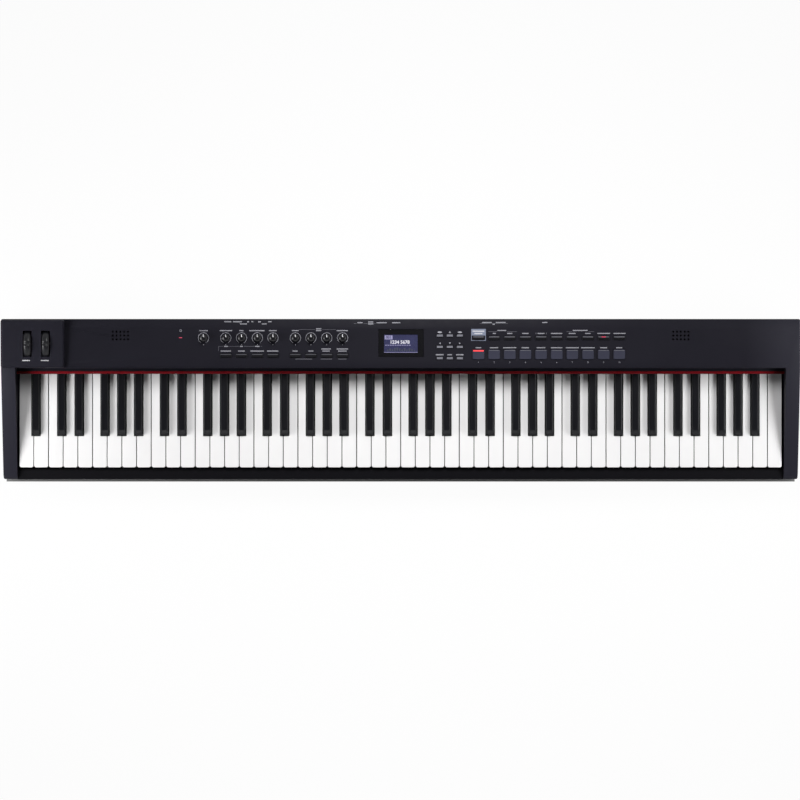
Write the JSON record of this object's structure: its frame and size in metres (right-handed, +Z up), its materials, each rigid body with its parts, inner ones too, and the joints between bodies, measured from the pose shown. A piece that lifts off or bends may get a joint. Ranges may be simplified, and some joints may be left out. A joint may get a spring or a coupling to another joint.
{
  "type": "stage piano",
  "caption": "Slim full-size stage piano with weighted keys, a wheel pod, panel knobs, pads, small display, built-in speakers and rear sockets.",
  "frame": {"origin": "on the floor below the middle of the case", "axes": "+X towards the treble end, +Y towards the rear panel, +Z up"},
  "size_m": [1.2852, 0.2588, 0.1587],
  "materials": {
    "case": "fine matte texture",
    "rail": "satin",
    "white_key": "smooth",
    "black_key": "satin",
    "foot_rubber": "matte",
    "knob": "glossy with a white pointer",
    "pad_rubber": "matte translucent",
    "wheel_rubber": "matte",
    "speaker_cone": "pressed paper and steel",
    "felt": "felt",
    "bracket": "plated steel",
    "circuit_board": "solder resist",
    "window": "smoked, glossy",
    "lcd": "backlit",
    "button": "satin",
    "keypad": "matte",
    "jack_panel": "black powder coat",
    "chassis": "zinc plated"
  },
  "bodies": {
    "case": {"bottom_case": "case", "top_case": "case", "front_rail": "rail", "wheel_pod": "case", "felt_strip": "felt", "foot_front_left": "foot_rubber", "foot_front_right": "foot_rubber", "foot_rear_left": "foot_rubber", "foot_rear_right": "foot_rubber", "wheel_bracket": "bracket", "panel_board": "circuit_board", "display_window": "window", "lcd_module": "lcd", "function_buttons_left": "button", "function_buttons_right": "button", "cursor_keypad": "keypad", "speaker_left": "speaker_cone", "speaker_right": "speaker_cone", "main_board": "circuit_board", "rear_jack_panel": "jack_panel", "keybed_chassis": "chassis", "key_contact_board": "circuit_board", "white_keys_bass": "white_key", "white_keys_treble": "white_key", "black_keys_bass": "black_key", "black_keys_treble": "black_key"},
    "key_c4": {"key_c4": "white_key"},
    "key_d4": {"key_d4": "white_key"},
    "key_e4": {"key_e4": "white_key"},
    "key_f4": {"key_f4": "white_key"},
    "key_g4": {"key_g4": "white_key"},
    "key_a4": {"key_a4": "white_key"},
    "key_b4": {"key_b4": "white_key"},
    "key_c_sharp4": {"key_c_sharp4": "black_key"},
    "key_d_sharp4": {"key_d_sharp4": "black_key"},
    "key_f_sharp4": {"key_f_sharp4": "black_key"},
    "key_g_sharp4": {"key_g_sharp4": "black_key"},
    "key_a_sharp4": {"key_a_sharp4": "black_key"},
    "knob_volume": {"knob_volume": "knob"},
    "knob_zone_1": {"knob_zone_1": "knob"},
    "knob_zone_2": {"knob_zone_2": "knob"},
    "knob_zone_3": {"knob_zone_3": "knob"},
    "knob_zone_4": {"knob_zone_4": "knob"},
    "knob_tone_1": {"knob_tone_1": "knob"},
    "knob_tone_2": {"knob_tone_2": "knob"},
    "knob_tone_3": {"knob_tone_3": "knob"},
    "knob_tone_4": {"knob_tone_4": "knob"},
    "pad_1": {"pad_1": "pad_rubber"},
    "pad_2": {"pad_2": "pad_rubber"},
    "pad_3": {"pad_3": "pad_rubber"},
    "pad_4": {"pad_4": "pad_rubber"},
    "pad_5": {"pad_5": "pad_rubber"},
    "pad_6": {"pad_6": "pad_rubber"},
    "pad_7": {"pad_7": "pad_rubber"},
    "pad_8": {"pad_8": "pad_rubber"},
    "pad_9": {"pad_9": "pad_rubber"},
    "pad_10": {"pad_10": "pad_rubber"},
    "pitch_wheel": {"pitch_wheel": "wheel_rubber"},
    "mod_wheel": {"mod_wheel": "wheel_rubber"},
    "power_switch": {"power_switch": "button"}
  },
  "joints": [
    {"name": "key_c4_press", "type": "hinge", "parent": "case", "child": "key_c4", "pos_m": [-0.06395, 0.09535, 0.072], "axis": [1, 0, 0], "range_deg": [0, 2.8], "stiffness_Nm_per_rad": 1, "springref_deg": -5.73},
    {"name": "key_d4_press", "type": "hinge", "parent": "case", "child": "key_d4", "pos_m": [-0.03557, 0.09535, 0.072], "axis": [1, 0, 0], "range_deg": [0, 2.8], "stiffness_Nm_per_rad": 1, "springref_deg": -5.73},
    {"name": "key_e4_press", "type": "hinge", "parent": "case", "child": "key_e4", "pos_m": [-0.00719, 0.09535, 0.072], "axis": [1, 0, 0], "range_deg": [0, 2.8], "stiffness_Nm_per_rad": 1, "springref_deg": -5.73},
    {"name": "key_f4_press", "type": "hinge", "parent": "case", "child": "key_f4", "pos_m": [0.00661, 0.09535, 0.072], "axis": [1, 0, 0], "range_deg": [0, 2.8], "stiffness_Nm_per_rad": 1, "springref_deg": -5.73},
    {"name": "key_g4_press", "type": "hinge", "parent": "case", "child": "key_g4", "pos_m": [0.03382, 0.09535, 0.072], "axis": [1, 0, 0], "range_deg": [0, 2.8], "stiffness_Nm_per_rad": 1, "springref_deg": -5.73},
    {"name": "key_a4_press", "type": "hinge", "parent": "case", "child": "key_a4", "pos_m": [0.06104, 0.09535, 0.072], "axis": [1, 0, 0], "range_deg": [0, 2.8], "stiffness_Nm_per_rad": 1, "springref_deg": -5.73},
    {"name": "key_b4_press", "type": "hinge", "parent": "case", "child": "key_b4", "pos_m": [0.08825, 0.09535, 0.072], "axis": [1, 0, 0], "range_deg": [0, 2.8], "stiffness_Nm_per_rad": 1, "springref_deg": -5.73},
    {"name": "key_c_sharp4_press", "type": "hinge", "parent": "case", "child": "key_c_sharp4", "pos_m": [-0.04976, 0.10835, 0.072], "axis": [1, 0, 0], "range_deg": [0, 3.3], "stiffness_Nm_per_rad": 1, "springref_deg": -5.73},
    {"name": "key_d_sharp4_press", "type": "hinge", "parent": "case", "child": "key_d_sharp4", "pos_m": [-0.02138, 0.10835, 0.072], "axis": [1, 0, 0], "range_deg": [0, 3.3], "stiffness_Nm_per_rad": 1, "springref_deg": -5.73},
    {"name": "key_f_sharp4_press", "type": "hinge", "parent": "case", "child": "key_f_sharp4", "pos_m": [0.02021, 0.10835, 0.072], "axis": [1, 0, 0], "range_deg": [0, 3.3], "stiffness_Nm_per_rad": 1, "springref_deg": -5.73},
    {"name": "key_g_sharp4_press", "type": "hinge", "parent": "case", "child": "key_g_sharp4", "pos_m": [0.04743, 0.10835, 0.072], "axis": [1, 0, 0], "range_deg": [0, 3.3], "stiffness_Nm_per_rad": 1, "springref_deg": -5.73},
    {"name": "key_a_sharp4_press", "type": "hinge", "parent": "case", "child": "key_a_sharp4", "pos_m": [0.07464, 0.10835, 0.072], "axis": [1, 0, 0], "range_deg": [0, 3.3], "stiffness_Nm_per_rad": 1, "springref_deg": -5.73},
    {"name": "knob_volume_turn", "type": "hinge", "parent": "case", "child": "knob_volume", "pos_m": [-0.31679, 0.09885, 0.1289], "axis": [0, 0, 1], "range_deg": [-150, 150]},
    {"name": "knob_zone_1_turn", "type": "hinge", "parent": "case", "child": "knob_zone_1", "pos_m": [-0.281, 0.09885, 0.1289], "axis": [0, 0, 1], "range_deg": [-150, 150]},
    {"name": "knob_zone_2_turn", "type": "hinge", "parent": "case", "child": "knob_zone_2", "pos_m": [-0.25568, 0.09885, 0.1289], "axis": [0, 0, 1], "range_deg": [-150, 150]},
    {"name": "knob_zone_3_turn", "type": "hinge", "parent": "case", "child": "knob_zone_3", "pos_m": [-0.2303, 0.09885, 0.1289], "axis": [0, 0, 1], "range_deg": [-150, 150]},
    {"name": "knob_zone_4_turn", "type": "hinge", "parent": "case", "child": "knob_zone_4", "pos_m": [-0.20517, 0.09885, 0.1289], "axis": [0, 0, 1], "range_deg": [-150, 150]},
    {"name": "knob_tone_1_turn", "type": "hinge", "parent": "case", "child": "knob_tone_1", "pos_m": [-0.16912, 0.09885, 0.1289], "axis": [0, 0, 1], "range_deg": [-150, 150]},
    {"name": "knob_tone_2_turn", "type": "hinge", "parent": "case", "child": "knob_tone_2", "pos_m": [-0.14413, 0.09885, 0.1289], "axis": [0, 0, 1], "range_deg": [-150, 150]},
    {"name": "knob_tone_3_turn", "type": "hinge", "parent": "case", "child": "knob_tone_3", "pos_m": [-0.11875, 0.09885, 0.1289], "axis": [0, 0, 1], "range_deg": [-150, 150]},
    {"name": "knob_tone_4_turn", "type": "hinge", "parent": "case", "child": "knob_tone_4", "pos_m": [-0.09324, 0.09885, 0.1289], "axis": [0, 0, 1], "range_deg": [-150, 150]},
    {"name": "pad_1_press", "type": "slide", "parent": "case", "child": "pad_1", "axis": [0, 0, -1], "range_m": [0, 0.0012], "stiffness_N_per_m": 300, "springref_m": -0.002},
    {"name": "pad_2_press", "type": "slide", "parent": "case", "child": "pad_2", "axis": [0, 0, -1], "range_m": [0, 0.0012], "stiffness_N_per_m": 300, "springref_m": -0.002},
    {"name": "pad_3_press", "type": "slide", "parent": "case", "child": "pad_3", "axis": [0, 0, -1], "range_m": [0, 0.0012], "stiffness_N_per_m": 300, "springref_m": -0.002},
    {"name": "pad_4_press", "type": "slide", "parent": "case", "child": "pad_4", "axis": [0, 0, -1], "range_m": [0, 0.0012], "stiffness_N_per_m": 300, "springref_m": -0.002},
    {"name": "pad_5_press", "type": "slide", "parent": "case", "child": "pad_5", "axis": [0, 0, -1], "range_m": [0, 0.0012], "stiffness_N_per_m": 300, "springref_m": -0.002},
    {"name": "pad_6_press", "type": "slide", "parent": "case", "child": "pad_6", "axis": [0, 0, -1], "range_m": [0, 0.0012], "stiffness_N_per_m": 300, "springref_m": -0.002},
    {"name": "pad_7_press", "type": "slide", "parent": "case", "child": "pad_7", "axis": [0, 0, -1], "range_m": [0, 0.0012], "stiffness_N_per_m": 300, "springref_m": -0.002},
    {"name": "pad_8_press", "type": "slide", "parent": "case", "child": "pad_8", "axis": [0, 0, -1], "range_m": [0, 0.0012], "stiffness_N_per_m": 300, "springref_m": -0.002},
    {"name": "pad_9_press", "type": "slide", "parent": "case", "child": "pad_9", "axis": [0, 0, -1], "range_m": [0, 0.0012], "stiffness_N_per_m": 300, "springref_m": -0.002},
    {"name": "pad_10_press", "type": "slide", "parent": "case", "child": "pad_10", "axis": [0, 0, -1], "range_m": [0, 0.0012], "stiffness_N_per_m": 300, "springref_m": -0.002},
    {"name": "pitch_wheel_turn", "type": "hinge", "parent": "case", "child": "pitch_wheel", "pos_m": [-0.59945, 0.08935, 0.135], "axis": [1, 0, 0], "range_deg": [-40, 40], "stiffness_Nm_per_rad": 0.05},
    {"name": "mod_wheel_turn", "type": "hinge", "parent": "case", "child": "mod_wheel", "pos_m": [-0.57005, 0.08935, 0.135], "axis": [1, 0, 0], "range_deg": [-40, 40]},
    {"name": "power_switch_rock", "type": "hinge", "parent": "case", "child": "power_switch", "pos_m": [-0.28349, 0.12375, 0.112], "axis": [1, 0, 0], "range_deg": [-14, 0]}
  ]
}
